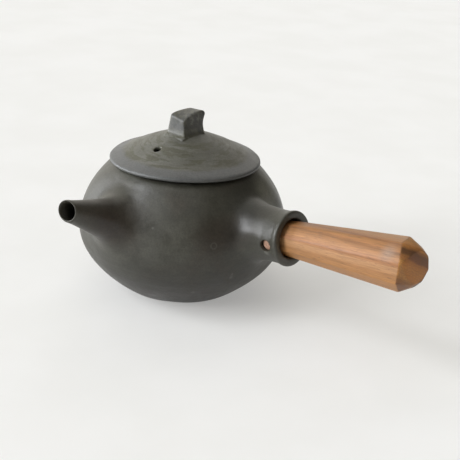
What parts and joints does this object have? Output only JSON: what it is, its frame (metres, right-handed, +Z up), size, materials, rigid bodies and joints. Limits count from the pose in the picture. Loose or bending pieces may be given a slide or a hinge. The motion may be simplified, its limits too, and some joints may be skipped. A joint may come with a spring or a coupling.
{
  "type": "side-handled teapot",
  "caption": "Round dark stoneware teapot with a short spout, a lift-off lid with an arched knob, and a tapered eight-sided wooden side handle in a clay socket.",
  "frame": {"origin": "centre of the flat foot", "axes": "+Z up, +X along the wooden handle, -Y along the spout"},
  "size_m": [0.1905, 0.129, 0.0911],
  "materials": {
    "stoneware": "matte, unglazed",
    "lid_stoneware": "matte, unglazed",
    "handle_wood": "oiled",
    "peg_wood": "bare"
  },
  "bodies": {
    "pot": {"pot_body": "stoneware", "spout": "stoneware", "handle_socket": "stoneware", "tea_strainer": "stoneware", "wood_handle": "handle_wood", "handle_peg": "peg_wood"},
    "lid": {"lid": "lid_stoneware", "lid_knob": "lid_stoneware"}
  },
  "joints": [
    {"name": "lid_lift", "type": "slide", "parent": "pot", "child": "lid", "axis": [0, 0, 1], "range_m": [0, 0.06]}
  ]
}
